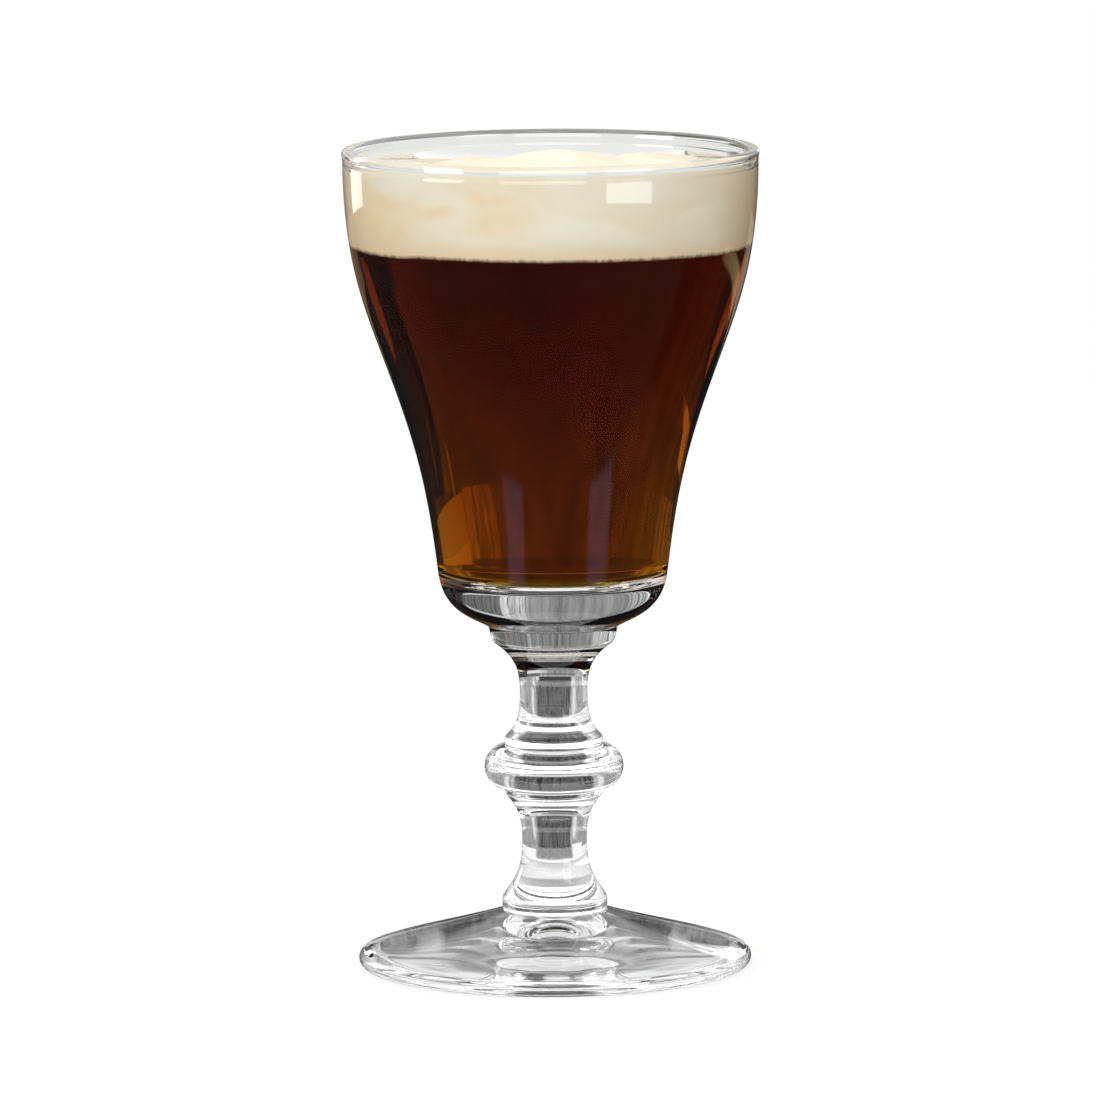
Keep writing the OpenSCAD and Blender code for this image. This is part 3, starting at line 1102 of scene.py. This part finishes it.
# %% Flags behind the drink
HIGH = {"soft": (1.2, 0.5), "grain": 0.35, "stretch": 0.15}
THIN = {"soft": (0.6, 4)}
FAR_GRAIN = {"grain": 0.6, "stretch": 0.2, "scale": 90}
card("flag_high", (-37, 23), (88, 112.5), NEAR, 0.29, top_sweep=(-28, 16), **HIGH)
card("flag_high_gap", (-28, 16), (112, 118.5), NEAR, 0.29, top_sweep=(-19, 14.5), **HIGH)
card("flag_high_top", (-60, 14.5), (118, 130.5), NEAR, 0.3, top_sweep=(-60, 11), **HIGH)
card("flag_side_left", (-60, -9), (129.5, 132.6), NEAR, 0.12, soft=(1, 0.4))
card("flag_high_right", (20, 110), (88, 130.5), NEAR - MM, 0.05,
     top_sweep=(10, 110), soft=(1.5, 0.5), grain=0.5, stretch=0.1)
card("flag_side_right", (26, 110), (129.5, 150), NEAR, (0.055, 0.05, 0.035), soft=(2, 1))
card("gleam_line", (15.6, 16.4), (82, 104), NEAR - 3 * MM, 0.9, top_sweep=(13.5, 14.2), soft=(0.3, 4))
card("glow_rim", (-75, 75), (143.5, 195), NEAR, 0.8, soft=(10, 3), **MIRRORED)
card("rim_grey", (-30, 30), (130.8, 142), NEAR + 2 * MM, 0.84, soft=(4, 1))
card("gleam_near", (24, 26), (90, 130), NEAR - 2 * MM, 0.22, top_sweep=(14, 15), **THIN)
card("gleam_far", (31, 33), (90, 130), NEAR - 2 * MM, 0.16, top_sweep=(19, 20), **THIN)
card("flag_middle", (-24, 7), (60, 89), NEAR, 0.29, soft=(2, 1), grain=0.4, stretch=0.08, scale=400)
card("flag_middle_streaks", (5, 14), (60, 89), NEAR + MM, 0.52,
     soft=(1, 1), grain=0.9, stretch=0.06, scale=700)
card("flag_middle_left", (-47, -22), (60, 89), NEAR + MM, 0.48,
     top_sweep=(-39, -22), soft=(2, 1), grain=0.7, stretch=0.06, scale=600)
card("flag_middle_right", (32, 110), (60, 89), NEAR, 0.05, soft=(3, 1))
card("flag_collar", (-26, 14), (62, 69), NEAR - 2 * MM, 0.19,
     soft=(3, 1.5), grain=0.7, stretch=0.08, scale=600)
card("flag_far_right", (4, 62), (108, 178), FAR, 0.16, **FAR_GRAIN)
card("flag_far_left", (-62, -19), (108, 178), FAR, 0.16, **FAR_GRAIN)

# %% [markdown]
# The stem and the foot are solid lenses that turn the studio upside down. Flags near,
# close and further off fill their middles with grey, gleams put the light lines beside
# the grey, and a shade on the table darkens what the foot shows of the floor.

# %% Flags behind the stem and the foot
SIDE_LOW = {"soft": (4, 2), "grain": 0.35}
SIDE_MIDDLE = {"soft": (4, 2), "grain": 0.25}
GLEAM = {"soft": (2, 4)}
MARBLED = {"soft": (2, 1), "grain": 0.6, "stretch": 0.12, "scale": 700}
card("flag_stem", (-20, 20), (14.6, 51.5), NEAR, 0.13, soft=(5, 0.6), grain=0.9, stretch=0.6, scale=420)
card("flag_stem_dark", (-30, 18), (45, 84), MIDDLE, 0.06, soft=(3, 2), grain=0.4)
card("flag_bottom", (-30, 30), (-2, 45), MIDDLE, 0.22, soft=(4, 1), grain=0.3)
card("flag_stem_right", (18, 45), (-3, 62), NEAR + MM, 0.38, grain=0.25)
card("flag_stem_left", (-42, -18), (15.5, 62), NEAR + MM, 0.4, soft=(2, 1), grain=0.25)
card("flag_side_low_right", (32, 110), (-3, 24), NEAR - MM, 0.3, **SIDE_LOW)
card("flag_side_right_mid", (43, 110), (24, 62), NEAR, 0.55, **SIDE_MIDDLE)
card("flag_side_low_left", (-110, -42), (-3, 24), NEAR, 0.3, **SIDE_LOW)
card("flag_side_left_mid", (-110, -40), (24, 62), NEAR, 0.65, **SIDE_MIDDLE)
card("flag_wedge", (-40, 20), (5, 15.3), NEAR + 2 * MM, 0.66, soft=(2, 1), grain=0.08)
card("gleam_stem_right", (20, 26), (15.5, 60), NEAR - 3 * MM, 0.7, **GLEAM)
card("gleam_stem_left", (-26, -19), (15.5, 60), NEAR - 3 * MM, 0.7, **GLEAM)
card("table_shade", (-24, 24), (0.5, 0.6), SHADE_REACH, 0.3, soft=(4, 0.01), grain=0.5, scale=300)
card("flag_close", (-20, 20), (8, 46), CLOSE, 0.1, soft=(3, 1), grain=0.9, stretch=0.12, scale=700)
card("flag_close_right", (19, 46), (9.5, 46), CLOSE + MM, 0.34, **MARBLED)
card("flag_close_left", (-46, -19), (9.5, 46), CLOSE + MM, 0.36, **MARBLED)
card("gleam_close_right", (21, 27), (12, 46), CLOSE - MM, 0.8, **GLEAM)
card("gleam_close_left", (-27, -20), (12, 46), CLOSE - MM, 0.8, **GLEAM)

# %% [markdown]
# Most of the rest works only on light that a surface mirrors. Warm cards far behind
# tint the two edges of the drink. Two dim violet runners beside the camera stand on the
# lower flank as faint upright bands, and dark screens keep them off the upper flank. A
# warm haze lies low on the right. The windows are two tall soft boxes and a small one.
# The two boxes stand twice: bright for mirrored light, and weaker and softer for light
# through the glass, where the bright ones would burn through the coffee from behind.

# %% Cards that only mirrored light sees
EDGE = {"soft": (3, 3), **MIRRORED}
DIM = {"soft": (3, 2), **MIRRORED}
VIOLET = (0.45, 0.38, 0.54)
AMBER = (0.72, 0.52, 0.23)
card("edge_left", (-36, -12), (3, 66), FAR, (0.28, 0.17, 0.09), **EDGE)
card("edge_right", (16, 34), (3, 66), FAR, (0.5, 0.36, 0.27), **EDGE)
card("screen_left", (-175, -118), (72, 112), SCREEN, STUDIO_TONE, **DIM)
card("screen_right", (112, 170), (72, 112), SCREEN, STUDIO_TONE, **DIM)
card("runner_left", (-156, -137), (35, 60), RUNNER, VIOLET, **DIM)
card("haze_right", (26, 66), (0.5, 0.6), HAZE_REACH, AMBER, soft=(5, 0.02), grain=0.6, **MIRRORED)
card("runner_right", (128, 150), (35, 60), RUNNER, VIOLET, **DIM)

# %% Soft boxes
for suffix, front_tone, back_tone, looks in (
    ("", 5.0, 3.0, {"soft": (0.8, 3), **MIRRORED}),
    ("_through", 1.8, 1.8, {"soft": (2, 20)}),
):
    card("window_front_right" + suffix, (123.5, 150.5), (43, 500), WINDOW, front_tone, **looks)
    card("window_back_left" + suffix, (-54, -37), (52, 500), WINDOW, back_tone, **looks)
card("window_back_right", (10.8, 17.5), (115, 240), WINDOW, 3.0, soft=(1, 20), grain=0.9, **MIRRORED)

# %% [markdown]
# Two low lamps light the cream through the glass, a wide one in front and a square one
# to its left. They are low so that the side of the cream gets more of their light than
# its top, which would otherwise burn out.

# %% Lamps
AIM_AT = Vector((0, 0, 0.1))


def add_lamp(name, place, size, power):
    """A rectangular lamp that points at the glass."""
    data = bpy.data.lights.new(name, "AREA")
    data.shape = "RECTANGLE"
    data.size, data.size_y = size
    data.energy = power
    lamp = bpy.data.objects.new(name, data)
    aim = AIM_AT - Vector(place)
    lamp.matrix_world = Matrix.Translation(place) @ aim.to_track_quat("-Z", "Y").to_matrix().to_4x4()
    bpy.context.scene.collection.objects.link(lamp)
    lamp.visible_camera = False
    lamp.visible_glossy = False
    print(name, "watts", power)


LAMP_POWER = 7.0
LAMP_SIDE = 0.6
LAMP_UP = 0.36
add_lamp("front_lamp", (-0.1, -1.3, LAMP_UP), (2 * LAMP_SIDE, LAMP_SIDE), LAMP_POWER)
add_lamp("side_lamp", (-1.2, -0.6, LAMP_UP), (LAMP_SIDE, LAMP_SIDE), LAMP_POWER)

# %% [markdown]
# The photograph was taken with a long lens from a little above the rim. The camera's
# place, tilt and lens come from matching the ellipses of the rim and the foot.

# %% The camera
CAMERA_BACK = 1659.9 * MM
CAMERA_UP = 300.1 * MM
TILT_DOWN = 0.13604
ROLL = math.radians(0.353)
PHOTO_SIDE_PIXELS = 1096
FOCAL_PIXELS = 9679.5
OFFSET_PIXELS = 4.8
TURN_LEFT = OFFSET_PIXELS / FOCAL_PIXELS
SENSOR_W = 36.0
LENS_SHARE = FOCAL_PIXELS / PHOTO_SIDE_PIXELS

camera_data = bpy.data.cameras.new("camera")
camera_data.sensor_width = SENSOR_W
camera_data.lens = SENSOR_W * LENS_SHARE
camera_data.clip_start = 0.01
camera = bpy.data.objects.new("camera", camera_data)
bpy.context.scene.collection.objects.link(camera)
look = Matrix.Rotation(TURN_LEFT, 4, "Z") @ Matrix.Rotation(math.pi / 2 - TILT_DOWN, 4, "X")
look = look @ Matrix.Rotation(-ROLL, 4, "Z")
camera.matrix_world = Matrix.Translation((0, -CAMERA_BACK, CAMERA_UP)) @ look
bpy.context.scene.camera = camera
bpy.context.scene.view_settings.view_transform = "Standard"
print("lens", round(camera_data.lens, 1), "mm")

# %% [markdown]
# Light that enters the stem may turn round inside it many times before it leaves, so
# the number of bounces is raised. With too few, the glass goes black in its corners.

# %% Bounces
MANY = 32
cycles = bpy.context.scene.cycles
cycles.max_bounces = MANY
cycles.glossy_bounces = 24
cycles.transmission_bounces = MANY
cycles.transparent_max_bounces = MANY
print("bounces", cycles.max_bounces)
